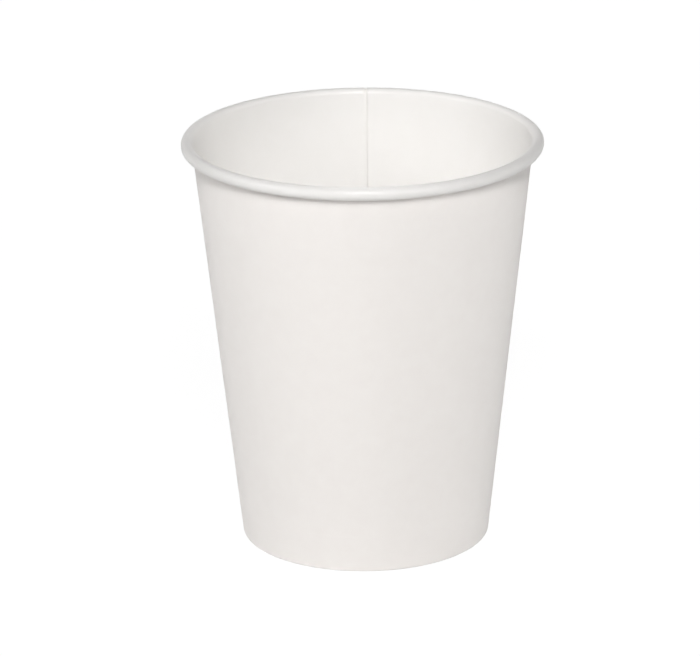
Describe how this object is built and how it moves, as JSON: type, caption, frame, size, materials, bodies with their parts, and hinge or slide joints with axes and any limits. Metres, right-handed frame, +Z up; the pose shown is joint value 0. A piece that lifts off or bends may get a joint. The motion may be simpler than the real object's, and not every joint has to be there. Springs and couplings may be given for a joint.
{
  "type": "paper coffee cup",
  "caption": "Single-wall paper cup for hot drinks: a tapered board wall with a lapped seam, a rolled rim, and a recessed base held in a folded foot.",
  "frame": {"origin": "centre of the foot, on the table that the cup stands on", "axes": "+Z is up, along the cup's axis; the lap seam of the sidewall is at the back, towards +Y"},
  "size_m": [0.08, 0.08, 0.0922],
  "materials": {
    "sidewall_board": "white uncoated board outside, thin glossy film inside and on the rolled rim",
    "base_board": "white board with a thin glossy film on its upper side, uncoated below"
  },
  "bodies": {
    "root": {"sidewall": "sidewall_board", "base": "base_board"}
  },
  "joints": []
}
